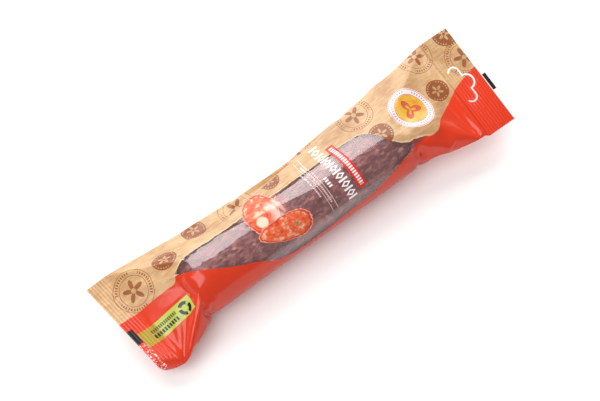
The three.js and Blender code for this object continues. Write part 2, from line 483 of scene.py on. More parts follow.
@dataclass(frozen=True)
class PrintedFilm:
    """Glossy clear film printed with a paper pattern, a red sweep, a round badge, a title and a picture.

    Places are in millimetres on the flat web: along it from the left cut edge, and across it from the
    packet's top line towards -Y.
    """

    length: float  # of the web
    strip_width: float = 3.8  # of the white strip along the right cut edge
    light_through: float = 0.25  # share of the light that the ink lets into the packet
    film_ior: float = 1.62
    shine_gain: float = 1.6  # two surfaces of the film reflect, not one
    most_shine: float = 0.13  # of the clear film, so that the sausage shows at every angle
    badge_middle: tuple[float, float] = (272, -3)
    red: Colour = linear("E23C16")
    stamp_ink: Colour = linear("8E481C")
    white: Colour = linear("FBF6F4")
    lower_slice: SlicePicture = SlicePicture(
        (131, -4), (12.5, 19.5), 12, 0.0, (127, 4), 4.2, linear("FBE3CC")
    )
    upper_slice: SlicePicture = SlicePicture(
        (138, 17.5), (20.5, 9.0), 13, 0.018, (147, 19), 1.5, linear("8A7A2E")
    )
    stamps: tuple[Stamp, ...] = (
        Stamp(25, -20, 16.5, 20),
        Stamp(57, -22, 9.5, 10, StampStyle.DISC),
        Stamp(88, -38, 9.5, 40, StampStyle.DISC),
        Stamp(124, -36, 15),
        Stamp(153, -25, 8, 30, StampStyle.DISC),
        Stamp(186, -48, 14, 15),
        Stamp(235, -27, 15, 60),
        Stamp(238, 2, 9.5, 20, StampStyle.DISC),
        Stamp(302, -6, 9, 50, StampStyle.DISC),
        Stamp(304, -38, 15, 70),
        Stamp(336, -41, 10, 0, StampStyle.DISC),
        Stamp(338, -17, 16, 35),
    )

    def material(self) -> bpy.types.Material:
        """Build the film's finish.

        Returns:
            The material, which reads the web's own UV map.
        """
        g = Graph("printed_film")
        web = g.node("ShaderNodeUVMap", uv_map="web").outputs[0]
        split = g.node("ShaderNodeSeparateXYZ")
        g.plug(split.inputs[0], web)
        along = Field(g, split.outputs[0]) * (1 / MM)
        across = Field(g, split.outputs[1]) * (1 / MM)
        where = g.vector(along, across)
        at = WebPoint(g, where, along, across)
        rough_edge = (g.noise(where, 0.22, 4, 0.65) - 0.5) * 3.2
        paper = across.under(self.paper_edge(along) + rough_edge * self.torn(along), 0.35)
        red = across.over(self.red_edge(along), 0.3)
        ink = paper | red
        colour = g.blend(paper, self.red_print(at), self.paper_print(at, rough_edge))
        for cover, above in (
            *self.slices(at),
            *self.panel(at),
            *self.title(at),
            *self.badge(at),
            *self.edge_marks(at),
        ):
            colour = g.blend(cover, colour, above)
            ink = ink | cover
        crinkle = g.noise(where, 0.09, 2, 0.45) * 0.8 + g.noise(where, 0.6, 2, 0.5) * 0.2
        normal = g.bump(crinkle, 0.0004, 0.4)
        printed = g.shader(
            "ShaderNodeBsdfPrincipled", base_color=colour, roughness=0.16, ior=1.5, normal=normal
        )
        gloss = g.shader("ShaderNodeBsdfGlossy", color=(1, 1, 1, 1), roughness=0.1, normal=normal)
        clear = g.shader("ShaderNodeBsdfTransparent", color=(0.97, 0.955, 0.955, 1))
        mirror = g.node("ShaderNodeFresnel")
        g.plug(mirror.inputs["IOR"], self.film_ior)
        g.plug(mirror.inputs["Normal"], normal)
        shine = g.math("MINIMUM", Field(g, mirror.outputs[0]) * self.shine_gain, self.most_shine)
        window = g.mix_shaders(shine, clear, gloss)
        through = g.shader("ShaderNodeBsdfTranslucent", color=colour, normal=normal)
        surface = g.mix_shaders(ink, window, g.mix_shaders(self.light_through, printed, through))
        return g.finish(surface)

    def line(self, along: Field, points: tuple[tuple[float, float], ...]) -> Field:
        """Draw a line across the web that is one height at each place along it.

        Args:
            along: The place along the web.
            points: Its bends, as places along and across the web.

        Returns:
            The line's place across the web.
        """
        reach = 100  # the curve runs from 0 to 1, which stands for this far to either side
        node = along.graph.node("ShaderNodeFloatCurve")
        curve = node.mapping.curves[0]
        places = [(a / self.length, (c + reach) / (2 * reach)) for a, c in points]
        curve.points[0].location = places[0]
        curve.points[1].location = places[-1]
        for place in places[1:-1]:
            curve.points.new(*place)
        node.mapping.update()
        along.graph.plug(node.inputs["Value"], along * (1 / self.length))
        return Field(along.graph, node.outputs[0]) * (2 * reach) - reach

    def paper_edge(self, along: Field) -> Field:
        """Draw the edge of the paper pattern, which ends in red at both ends and in the window between.

        Args:
            along: The place along the web.

        Returns:
            The edge's place across the web.
        """
        return self.line(
            along,
            (
                (0, -8), (27, -5), (44, -2), (50, -1), (57, -6), (67, -10), (92, -10), (111, -10),
                (130, -11), (155, -11), (180, -11), (200, -11), (217, -11), (226, -9), (231, -5),
                (236, 3), (242, 13), (250, 19), (262, 21), (273, 24), (286, 16), (303, 7), (316, 0),
                (325, -3), (344, -7),
            ),
        )  # fmt: skip

    def red_edge(self, along: Field) -> Field:
        """Draw the near edge of the red sweep, which lies under the paper pattern at both ends.

        Args:
            along: The place along the web.

        Returns:
            The edge's place across the web.
        """
        return self.line(
            along,
            (
                (0, -12), (27, -9), (44, -6), (52, -5), (72, 7), (90, 17), (108, 26), (126, 37),
                (145, 41), (185, 39), (215, 36), (239, 29), (259, 24), (273, 20), (286, 12), (303, 3),
                (316, -4), (344, -12),
            ),
        )  # fmt: skip

    def torn(self, along: Field) -> Field:
        """Cover the stretch where the paper pattern's edge is torn."""
        return along.between(58, 268, 14)

    def paper_print(self, at: WebPoint, rough_edge: Field) -> bpy.types.NodeSocket:
        """Colour the paper pattern, with its fibres, blotches, pale torn edge and stamps.

        Args:
            at: The web's coordinates.
            rough_edge: How far the torn edge strays across the web.

        Returns:
            The colour.
        """
        g, where, along, across = at.graph, at.where, at.along, at.across
        blotch = g.noise(where, 0.035, 4, 0.6)
        long_fibre = g.noise(g.vector(along * 0.25, across), 0.5, 3, 0.6)
        fleck = g.noise(where, 1.1, 2, 0.6)
        colour = g.blend(blotch.over(0.52, 0.35), linear("BC8F62"), linear("DEB889"))
        colour = g.blend(long_fibre.over(0.6, 0.25) * 0.45, colour, linear("EBCD9C"))
        colour = g.blend(long_fibre.under(0.36, 0.2) * 0.35, colour, linear("AD7C48"))
        colour = g.blend(fleck.over(0.72, 0.1) * 0.5, colour, linear("9C6A3A"))
        from_edge = self.paper_edge(along) + rough_edge - across
        colour = g.blend(from_edge.between(0.0, 1.3, 0.8) * self.torn(along) * 0.6, colour, linear("F0D9B0"))
        ink: Field | None = None
        for stamp in self.stamps:
            cover = self.stamp(at, stamp)
            ink = cover if ink is None else ink | cover
        worn = g.noise(where, 0.5, 3, 0.6).over(0.26, 0.25) * 0.92
        return g.blend(ink * worn, colour, self.stamp_ink)

    def stamp(self, at: WebPoint, stamp: Stamp) -> Field:
        """Print one stamp: two rings with a row of ticks between, and a plain rosette.

        Args:
            at: The web's coordinates.
            stamp: The stamp.

        Returns:
            How much ink it lays down.
        """
        out = at.distance((stamp.along, stamp.across))
        turn = at.graph.math("ARCTAN2", at.across - stamp.across, at.along - stamp.along)
        turn = turn + math.radians(stamp.turn)
        radius = stamp.radius
        rim = abs(out - radius * 0.97).under(0.22) | abs(out - radius * 0.7).under(0.18)
        ticks = (turn * round(radius * 2.6)).sine().over(0.1, 0.5) & (turn * 3).sine().over(-0.72, 0.1)
        ticks = ticks & out.between(radius * 0.78, radius * 0.9)
        petals = out - (turn * 5).sine() * (radius * 0.2) - radius * 0.34
        rosette = petals.under(0) & out.over(radius * 0.12)
        if stamp.style is StampStyle.DISC:
            return out.under(radius) & (1 - (rosette | ticks) * 0.8)
        return rim | ticks | rosette * 0.9

    def red_print(self, at: WebPoint) -> bpy.types.NodeSocket:
        """Colour the red sweep, slightly deeper in broad patches."""
        tone = at.graph.noise(at.where, 0.02, 2, 0.5)
        return at.graph.blend(tone.over(0.5, 0.5) * 0.5, self.red, linear("CB2C0E"))

    def slices(self, at: WebPoint) -> Layers:
        """Print a picture of two slices of sausage, the second half over the first, with a sheen between.

        Args:
            at: The web's coordinates.

        Returns:
            Its layers.
        """
        g, where = at.graph, at.where
        wobble = (g.noise(where, 0.35, 3, 0.6) - 0.5) * 0.22
        fat = g.noise(where, 0.16, 3, 0.6)
        grain = g.noise(where, 0.55, 3, 0.7)
        meat = g.blend(grain.over(0.5, 0.3), linear("E2502B"), linear("F0794A"))
        meat = g.blend(fat.over(0.57, 0.1) * 0.85, meat, linear("F8C7A6"))
        meat = g.blend(fat.under(0.4, 0.08) * 0.7, meat, linear("C93A1F"))
        lower = self.slice_layers(at, wobble, meat, self.lower_slice)
        upper = self.slice_layers(at, wobble, meat, self.upper_slice)
        streaks = g.noise(g.vector(at.along * 1.6, at.across * 0.5), 0.12, 2, 0.5)
        u, v = at.turned((142, 6), 12)
        sheen = u.between(-7, 5, 5) & v.between(-16, 6, 6) & streaks.over(0.42, 0.2)
        return [*lower, (sheen * 0.75, linear("FBDCD0")), *upper]

    def slice_layers(
        self, at: WebPoint, wobble: Field, meat: bpy.types.NodeSocket, drawn: SlicePicture
    ) -> Layers:
        """Print one slice: a pale fringe, its casing, its meat and the spot on its face.

        Args:
            at: The web's coordinates.
            wobble: How far the outline strays, as a share of the slice's size.
            meat: The meat's colour.
            drawn: The slice.

        Returns:
            Its layers.
        """
        u, v = at.turned(drawn.middle, drawn.turn)
        round_u = u * (1 / drawn.half_sizes[0])
        round_v = v * (1 / drawn.half_sizes[1]) * (1 - u * drawn.taper)
        out = at.graph.math("SQRT", round_u * round_u + round_v * round_v) + wobble
        near = at.distance(drawn.spot) + wobble * 6
        return [
            (out.under(1.05, 0.04), linear("F4A890")),
            (out.under(1.0, 0.03), linear("C5371C")),
            (out.under(0.93, 0.06), meat),
            (near.under(drawn.spot_radius, 1.2) * 0.9, drawn.spot_colour),
        ]

    def panel(self, at: WebPoint) -> Layers:
        """Print the yellow-green sorting panel, with a broken ring and plain bars on it.

        Args:
            at: The web's coordinates.

        Returns:
            Its layers.
        """
        g, along, across = at.graph, at.along, at.across
        top = along * 0.11 + 5.4  # the panel lies slightly askew
        inside = along.between(5, 51) & across.over(top) & across.under(top + 13.6 - along * 0.03)
        u, v = along - 43.5, across - top - 6.6
        out = g.math("SQRT", u * u + v * v)
        turn = g.math("ARCTAN2", v, u)
        loop = out.between(2.6, 5.2) & (turn * 3).sine().over(-0.75, 0.15)
        first = along.between(13, 36) & v.between(-3.6, -0.9) & along.repeat(1.7).between(-0.6, 0.6)
        second = along.between(13, 36) & v.between(0.6, 3.8) & along.repeat(2.3).between(-0.8, 0.8)
        return [
            (inside, linear("BFCB55")),
            (inside & along.under(19, 2), linear("B39A20")),
            (inside & loop, linear("15120E")),
            (inside & first, linear("5A5A2C")),
            (inside & second, linear("2A2814")),
        ]

    def title(self, at: WebPoint) -> Layers:
        """Print the red band, the white ornament that stands for the title, and the fine rows under it.

        Args:
            at: The web's coordinates.

        Returns:
            Its layers.
        """
        along, across = at.along, at.across
        on_band = across.between(-18, 26)
        band = along.between(200.2, 206.9) & on_band
        marks = along.between(201.9, 205.2) & across.between(-16, 24) & across.repeat(2.2).between(-0.7, 0.6)
        pitch = 7.4
        from_middle = across - 2
        cell = from_middle.repeat(pitch)
        diamond = abs(cell) * (1 / 2.3) + abs(along - 193.2) * (1 / 4.1)
        outline = diamond.between(0.48, 1.04, 0.1)
        bars = (cell - pitch / 2).repeat(pitch).between(-0.8, 0.8) & along.between(189.4, 197.0)
        letters = abs(from_middle).under(26.9) & (outline | bars)
        small = across.between(4, 13) & along.between(181.6, 184.6) & across.repeat(2.3).between(-0.7, 0.7)
        rules = (along.between(179.0, 179.5) | along.between(174.6, 175.0)) & across.between(-24, 28)
        fine = across.repeat(1.5).between(-0.5, 0.45)
        rows = fine & (along.between(176.3, 177.7) & across.between(-18, 22))
        rows = rows | (fine & along.between(171.4, 172.8) & across.between(-12, 14))
        return [
            (band, linear("DF2A1E")),
            (marks & band, self.white),
            (letters | small, self.white),
            ((rules | rows) * 0.8, self.white),
        ]

    def badge(self, at: WebPoint) -> Layers:
        """Print the round badge: a white ring with a row of ticks round a yellow middle with a rosette.

        Args:
            at: The web's coordinates.

        Returns:
            Its layers.
        """
        g = at.graph
        u, v = at.along - self.badge_middle[0], at.across - self.badge_middle[1]
        out = g.math("SQRT", u * u + v * v)
        turn = g.math("ARCTAN2", v, u)
        ticks = (turn * 44).sine().over(0, 0.6) & (turn * 2 + 0.6).sine().over(-0.9, 0.1)
        petals = out - (turn * 3 + 0.9).sine() * 3.2 - 5.2
        glow = g.noise(at.where, 0.12, 2, 0.5)
        yellow = g.blend(glow.over(0.5, 0.3), linear("E09A28"), linear("EBC04A"))
        return [
            (out.under(18.0), linear("F6EFF2")),
            (out.between(17.0, 17.5) | out.between(12.7, 13.2), linear("C6564A")),
            (out.between(14.3, 16.1) & ticks, linear("D98E86")),
            (out.under(12.6), yellow),
            (petals.between(-3.4, 0.6) & out.under(11), linear("B6402C")),
            (petals.between(-2.9, 0), linear("D9604A")),
        ]

    def edge_marks(self, at: WebPoint) -> Layers:
        """Print the marks that the packing line reads along both cut edges.

        Args:
            at: The web's coordinates.

        Returns:
            Its layers.
        """
        along, across = at.along, at.across
        flecks = at.graph.noise(at.where, 0.55, 2, 0.7).over(0.58, 0.08)
        strip = self.length - self.strip_width
        right = along.over(strip)
        return [
            (along.under(5.2) & across.between(14, 40) & flecks, self.white),
            (along.under(4.6) & across.between(0, 13), linear("0E0B0D")),
            (right, self.white),
            (right & across.between(2, 17) & along.over(strip + 0.5), linear("1B1418")),
        ]


# The film


@dataclass(frozen=True)
class WebSizes:
    """The flat web, in millimetres: along it from the left cut edge, and across it from its middle line."""

    girth: float = 180.0
    slack: float = 10.0  # how much longer the web is than the packet it makes
    left_seal: float = 16.0
    right_seal: float = 29.0
    ply_gap: float = 0.24
    columns: int = 84
    seal_step: float = 1.2
    body_step: float = 2.1


@dataclass(frozen=True)
class SealLie:
    """How one end seal lies, in millimetres and radians."""

    height: float  # of its inner edge's middle above the floor
    shift: float  # to +Y
    tilt: float  # how far its +Y corner lies above its middle
    toe: float  # how far it lies askew, seen from above
    droop: float  # how far it points down


@dataclass
class FilmWrapper:
    """One web of film, folded to a tube, sealed at both ends and shaped round the sausage by Cloth.

    The cloth is simulated ten times larger than life, because Cloth's distances have a floor of a millimetre.
    """

    web: WebSizes = field(default_factory=WebSizes)
    packet_length: float = 334.0
    left_lie: SealLie = SealLie(22.0, 2.5, 0.0, math.radians(5), math.radians(5))
    right_lie: SealLie = SealLie(32.0, 5.0, 4.0, math.radians(4), math.radians(3))
    curl_radius: float = 8.0  # of the left seal's bent corner
    curl_start: float = 17.0  # how far in from that corner the bend starts
    rib_pitch: float = 2.4
    rib_height: float = 0.3
    core_frame: int = 4  # the sausage starts to grow at this frame
    growth_frame: int = 18  # and has its full size from this one
    ease_frame: int = 24  # the air has its final pressure from this frame
    last_frame: int = 45
    opening_pressure: float = 25.0
    resting_pressure: float = 0.8
    sim_scale: float = 10.0
    slit_brim: float = 327.5  # along the web, where the slit's straight parts lie
    slit_half: float = 11.5
    slit_tip: float = 4.2
    slit_dome: float = 6.0
    slit_gap: float = 0.75  # from the slit's line to each rim
    fin_width: float = 10.0
    fin_drop: float = 0.35
    fin_thickness: float = 0.14
    fin_reach: float = 6.0  # the fin follows the film only below this height

    def web_length(self) -> float:
        """Give the flat web's length, in millimetres."""
        return self.packet_length + self.web.slack

    def along(self) -> np.ndarray:
        """Give the grid's stations along the flat web, in millimetres from the left cut edge.

        Returns:
            The stations, from the left cut edge to the right one.
        """
        length = self.web_length()
        left, right = self.web.left_seal, length - self.web.right_seal
        seal_left = round(left / self.web.seal_step)
        seal_right = round(self.web.right_seal / self.web.seal_step)
        body = round((right - left) / self.web.body_step)
        return np.concatenate(
            [
                np.linspace(0, left, seal_left, endpoint=False),
                np.linspace(left, right, body, endpoint=False),
                np.linspace(right, length, seal_right + 1),
            ]
        )

    def flat_tube(self) -> bpy.types.Object:
        """Lay the web flat, fold it double and weld its long edges.

        Returns:
            The folded tube, at the simulation's scale, with the web's own coordinates as its UV map.
        """
        along = self.along()
        columns = self.web.columns
        deselect_all()
        bpy.ops.mesh.primitive_grid_add(
            x_subdivisions=len(along) - 1, y_subdivisions=columns, size=1, calc_uvs=True
        )
        film = bpy.context.object
        film.name = film.data.name = "film"
        unit = coordinates(film) + 0.5
        row = np.rint(unit[:, 0] * (len(along) - 1)).astype(int)
        column = np.rint(unit[:, 1] * columns).astype(int)
        self.lay_uv(film, along)

        quarter = self.web.girth / 4
        turn = column / columns * self.web.girth
        past_fold = np.where(turn < 3 * quarter, 2 * quarter - turn, turn - 4 * quarter)
        across = np.where(turn < quarter, turn, past_fold)
        on_fold = (column == columns // 4) | (column == 3 * columns // 4)
        side = np.where(on_fold, 0, np.where((turn < quarter) | (turn > 3 * quarter), -1, 1))
        length = self.web_length()
        left_end, right_start = self.web.left_seal + NEARLY, length - self.web.right_seal - NEARLY
        seal = (along[row] <= left_end) | (along[row] >= right_start)
        height = self.axis_height() + side * self.web.ply_gap / 2 * np.where(seal, 1, 3)
        flat = np.column_stack([along[row] - length / 2, across, height])
        set_coordinates(film, flat * MM * self.sim_scale)
        self.weld(film)
        return film

    def lay_uv(self, film: bpy.types.Object, along: np.ndarray) -> None:
        """Put the web's coordinates in the UV map: metres along it in U, and across it in V.

        Args:
            film: The grid, whose UV map runs evenly from 0 to 1 both ways.
            along: The stations along the web, in millimetres.
        """
        layer = film.data.uv_layers[0]
        layer.name = "web"
        flat = np.zeros(len(film.data.loops) * 2, np.float32)
        layer.data.foreach_get("uv", flat)
        uv = flat.reshape(-1, 2)
        uv[:, 0] = np.interp(uv[:, 0], np.linspace(0, 1, len(along)), along) * MM
        uv[:, 1] = (uv[:, 1] - 0.5) * self.web.girth * MM
        layer.data.foreach_set("uv", uv.ravel())

    def weld(self, film: bpy.types.Object) -> None:
        """Merge the web's two long edges into one seam.

        Args:
            film: The folded web.
        """
        activate(film)
        bpy.ops.object.mode_set(mode="EDIT")
        bpy.ops.mesh.select_all(action="SELECT")
        bpy.ops.mesh.remove_doubles(threshold=0.02 * MM * self.sim_scale)
        bpy.ops.object.mode_set(mode="OBJECT")
        face_outwards(film)

    def axis_height(self) -> float:
        """Give the height of the sausage's axis, in millimetres."""
        low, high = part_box("sausage")
        return (low.z + high.z) / 2 / MM

    def sealed(self, flat: np.ndarray) -> np.ndarray:
        """Move the flat tube's end seals to where they lie on the finished packet.

        Args:
            flat: The flat tube's vertices, in millimetres.

        Returns:
            The same vertices, with those of the two seals in their final places.
        """
        placed = flat.copy()
        end = self.web_length() / 2
        for sign, width, lie in (
            (-1, self.web.left_seal, self.left_lie),
            (1, self.web.right_seal, self.right_lie),
        ):
            seal = sign * flat[:, 0] >= end - width - NEARLY
            out = sign * flat[seal, 0] - (end - width)
            y = flat[seal, 1]
            ply = flat[seal, 2] - self.axis_height()
            drop = np.zeros_like(y)
            if sign < 0:
                out, y, drop = self.curl(out, y, width)
            x = sign * (self.packet_length / 2 - width + out * math.cos(lie.droop))
            x += sign * math.tan(lie.toe) * y
            lift = lie.tilt * y / (self.web.girth / 4) - out * math.sin(lie.droop) - drop
            placed[seal] = np.column_stack([x, y + lie.shift, lie.height + lift + ply])
        return placed

    def curl(self, out: np.ndarray, y: np.ndarray, width: float) -> tuple[np.ndarray, np.ndarray, np.ndarray]:
        """Bend the left seal's corner down round a diagonal line, without stretching it.

        Args:
            out: How far each point is from the seal's inner edge.
            y: Each point's place along the seal.
            width: The seal's width.

        Returns:
            The new distances, the new places along the seal, and how far each point drops.
        """
        diagonal = np.array([0.5, -math.sqrt(0.75)])
        corner = np.array([width, -self.web.girth / 4])
        past = (np.column_stack([out, y]) - corner) @ diagonal + self.curl_start
        past = np.maximum(past, 0)
        angle = past / self.curl_radius
        back = past - self.curl_radius * np.sin(angle)
        drop = self.curl_radius * (1 - np.cos(angle))
        return out - back * diagonal[0], y - back * diagonal[1], drop

    def mould(self) -> bpy.types.Object:
        """Make the sausage's plain shape that the film closes on, growing from a thin core.

        Returns:
            The collider, at the simulation's scale.
        """
        low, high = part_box("sausage")
        neck = 10 * MM  # gathered casing and tail past each shoulder
        radius = (high.z - low.z) / 2
        half = (high.x - low.x) / 2 - neck
        scale = self.sim_scale
        deselect_all()
        bpy.ops.mesh.primitive_uv_sphere_add(segments=64, ring_count=32, radius=radius * scale)
        mould = bpy.context.object
        mould.name = "mould"
        points = coordinates(mould)[:, [2, 1, 0]] * [1, 1, -1]
        ends = np.abs(points[:, 0]) / (radius * scale)
        blunt = 3.2  # 2 would leave the ends round
        flattened = (1 - np.clip(ends, 0, 1) ** blunt) ** (1 / blunt)
        round_off = flattened / np.sqrt(np.maximum(1 - ends**2, 1e-6))
        points[:, 1:] *= np.where(ends < 0.9999, round_off, 0)[:, None]
        points[:, 0] += np.sign(points[:, 0]) * (half - radius) * scale * np.minimum(1, ends * 8)
        set_coordinates(mould, points)
        mould.location = Vector(((low.x + high.x) / 2, 0, (low.z + high.z) / 2)) * scale
        core = (0.6, 0.02, 0.02)
        for frame_number, size in ((1, core), (self.core_frame, core), (self.growth_frame, (1, 1, 1))):
            mould.scale = size
            mould.keyframe_insert("scale", frame=frame_number)
        self.make_collider(mould)
        return mould

    def make_collider(self, body: bpy.types.Object) -> None:
        """Let the cloth collide with a body.

        Args:
            body: The body.
        """
        body.modifiers.new("Collision", "COLLISION")
        body.collision.thickness_outer = 0.2 * MM * self.sim_scale
        body.collision.damping = 0.5
        body.collision.cloth_friction = 2

    def table_top(self) -> bpy.types.Object:
        """Make the surface that the film lies on while it is simulated.

        Returns:
            A plane at the floor's height.
        """
        deselect_all()
        bpy.ops.mesh.primitive_plane_add(size=0.8 * self.sim_scale)
        table = bpy.context.object
        self.make_collider(table)
        return table

    def simulate(self, film: bpy.types.Object) -> None:
        """Shape the flat tube by Cloth: air opens it, the sausage fills it and the seals are drawn in.

        Args:
            film: The flat tube, which is left in its final shape at the simulation's scale.
        """
        scale = MM * self.sim_scale
        flat = coordinates(film) / scale
        length = self.web_length()
        gathered = self.sealed(flat)
        film.shape_key_add(name="flat")
        key = film.shape_key_add(name="gathered")
        key.data.foreach_set("co", (gathered * scale).astype(np.float32).ravel())
        for frame_number, value in ((1, 0.0), (self.growth_frame, 1.0)):
            key.value = value
            key.keyframe_insert("value", frame=frame_number)
        pins = film.vertex_groups.new(name="seals")
        from_left = flat[:, 0] + length / 2
        in_left = from_left <= self.web.left_seal + NEARLY
        held = in_left | (from_left >= length - self.web.right_seal - NEARLY)
        pins.add([int(i) for i in np.nonzero(held)[0]], 1.0, "REPLACE")

        cloth = film.modifiers.new("Cloth", "CLOTH")
        settings = cloth.settings
        settings.quality = 8
        settings.mass = 0.002
        settings.air_damping = 0.2
        settings.tension_stiffness = settings.compression_stiffness = 60
        settings.shear_stiffness = 30
        settings.bending_stiffness = 2
        settings.tension_damping = settings.compression_damping = settings.shear_damping = 5
        settings.bending_damping = 0.5
        settings.vertex_group_mass = pins.name
        settings.use_pressure = True
        for frame_number, pressure in (
            (1, self.opening_pressure),
            (self.growth_frame, self.opening_pressure),
            (self.ease_frame, self.resting_pressure),
        ):
            settings.uniform_pressure_force = pressure
            settings.keyframe_insert("uniform_pressure_force", frame=frame_number)
        cloth.collision_settings.distance_min = 0.5 * scale
        cloth.collision_settings.collision_quality = 3
        cloth.point_cache.frame_end = self.last_frame
        bpy.context.scene.frame_end = self.last_frame
        colliders = [self.mould(), self.table_top()]
        for frame_number in range(1, self.last_frame + 1):
            bpy.context.scene.frame_set(frame_number)
        evaluated = film.evaluated_get(bpy.context.evaluated_depsgraph_get())
        shaped = np.zeros(len(film.data.vertices) * 3, np.float32)
        evaluated.data.vertices.foreach_get("co", shaped)
        film.modifiers.remove(cloth)
        film.shape_key_clear()
        film.animation_data_clear()
        set_coordinates(film, shaped.reshape(-1, 3))
        for collider in colliders:
            bpy.data.objects.remove(collider)

    def finish_mesh(self, film: bpy.types.Object) -> None:
        """Smooth the shaped film, crimp its seals and cut the hanging slit.

        Args:
            film: The shaped film, at its real size.
        """
        smooth = film.modifiers.new("Smooth", "SUBSURF")
        smooth.levels = smooth.render_levels = 1
        smooth.boundary_smooth = "PRESERVE_CORNERS"
        apply_modifiers(film)
        self.crimp(film)
        self.cut_slit(film)
        activate(film)
        bpy.ops.object.shade_smooth()

    def web_places(self, film: bpy.types.Object) -> tuple[np.ndarray, np.ndarray]:
        """Find where each vertex lies on the flat, folded web.

        Args:
            film: The film, with the web's coordinates as its UV map.

        Returns:
            Millimetres from the left cut edge, and millimetres from the packet's middle towards +Y.
        """
        loops = np.zeros(len(film.data.loops), np.int32)
        film.data.loops.foreach_get("vertex_index", loops)
        flat = np.zeros(len(loops) * 2, np.float32)
        film.data.uv_layers["web"].data.foreach_get("uv", flat)
        web = np.zeros((len(film.data.vertices), 2))
        web[loops] = flat.reshape(-1, 2) / MM
        half = self.web.girth / 2
        across = web[:, 1]
        on_top = np.abs(across) <= half / 2
        return web[:, 0], np.where(on_top, -across, across - np.sign(across) * half)

    def crimp(self, film: bpy.types.Object) -> None:
        """Press the ribs into both seals, parallel to their cut edges and fading out at the inner ones.

        Args:
            film: The shaped film.
        """
        along, _ = self.web_places(film)
        length = self.web_length()
        left = np.clip((self.web.left_seal - along) / self.rib_pitch, 0, 1)
        right = np.clip((along - length + self.web.right_seal) / self.rib_pitch, 0, 1)
        wave = np.cos(2 * np.pi * along / self.rib_pitch) * self.rib_height * MM
        points = coordinates(film)
        points[:, 2] += wave * np.maximum(left, right)
        set_coordinates(film, points)

    def slit_line(self) -> np.ndarray:
        """Draw the hanging slit: hooked tip, brim, dome, brim, hooked tip.

        Returns:
            Points along it, as millimetres along the web and towards +Y.
        """
        hook = np.linspace(math.radians(-150), 0, 14)
        dome = np.linspace(math.radians(-90), math.radians(90), 20)
        brim, tip, half = self.slit_brim, self.slit_tip, self.slit_half
        first = np.column_stack([brim - tip + tip * np.cos(hook), -half + tip * np.sin(hook)])
        middle = np.column_stack([brim + self.slit_dome * np.cos(dome), self.slit_dome * np.sin(dome)])
        return np.concatenate([first, middle, (first * [1, -1])[::-1]])

    def from_slit(self, film: bpy.types.Object) -> tuple[np.ndarray, np.ndarray]:
        """Measure each vertex's way from the slit's line.

        Args:
            film: The film.

        Returns:
            The distance in millimetres, and the unit direction away from the line along and across the web.
        """
        along, across = self.web_places(film)
        place = np.column_stack([along, across])
        line = self.slit_line()
        best = np.full(len(place), np.inf)
        away = np.zeros_like(place)
        near = np.nonzero(np.abs(along - self.slit_brim) < 3 * self.slit_tip)[0]
        for start, end in zip(line[:-1], line[1:]):
            run = end - start
            share = np.clip((place[near] - start) @ run / (run @ run), 0, 1)
            gap = place[near] - start - share[:, None] * run
            distance = np.hypot(gap[:, 0], gap[:, 1])
            closer = distance < best[near]
            chosen = near[closer]
            best[chosen] = distance[closer]
            away[chosen] = gap[closer] / np.maximum(distance[closer], 1e-6)[:, None]
        return best, away

    def cut_slit(self, film: bpy.types.Object) -> None:
        """Cut the hanging slit through both plies of the right seal.

        The faces near its line are divided, those on it are deleted and the rim is drawn on to its edge.

        Args:
            film: The shaped film.
        """
        distance, _ = self.from_slit(film)
        self.select_faces(film, self.touching(film, distance < 4 * self.slit_gap))
        bpy.ops.object.mode_set(mode="EDIT")
        bpy.ops.mesh.subdivide(number_cuts=2)
        bpy.ops.object.mode_set(mode="OBJECT")
        distance, _ = self.from_slit(film)
        self.select_faces(film, self.touching(film, distance < self.slit_gap))
        bpy.ops.object.mode_set(mode="EDIT")
        bpy.ops.mesh.delete(type="FACE")
        bpy.ops.mesh.select_all(action="DESELECT")
        bpy.ops.mesh.select_mode(type="VERT")
        bpy.ops.mesh.select_non_manifold()
        bpy.ops.object.mode_set(mode="OBJECT")
        rim = np.zeros(len(film.data.vertices), bool)
        film.data.vertices.foreach_get("select", rim)
        distance, away = self.from_slit(film)
        rim &= distance < 3 * self.slit_gap
        move = (self.slit_gap - distance[rim])[:, None] * away[rim] * MM
        points = coordinates(film)
        points[rim, :2] += move
        set_coordinates(film, points)

    def touching(self, film: bpy.types.Object, wanted: np.ndarray) -> np.ndarray:
        """Find the faces that have any of the wanted vertices."""
        return np.array([wanted[list(face.vertices)].any() for face in film.data.polygons])

    def select_faces(self, film: bpy.types.Object, wanted: np.ndarray) -> None:
        """Select the wanted faces and no others.

        Args:
            film: The film.
            wanted: Whether each face is wanted.
        """
        activate(film)
        bpy.ops.object.mode_set(mode="EDIT")
        bpy.ops.mesh.select_mode(type="FACE")
        bpy.ops.mesh.select_all(action="DESELECT")
        bpy.ops.object.mode_set(mode="OBJECT")
        film.data.polygons.foreach_set("select", wanted)

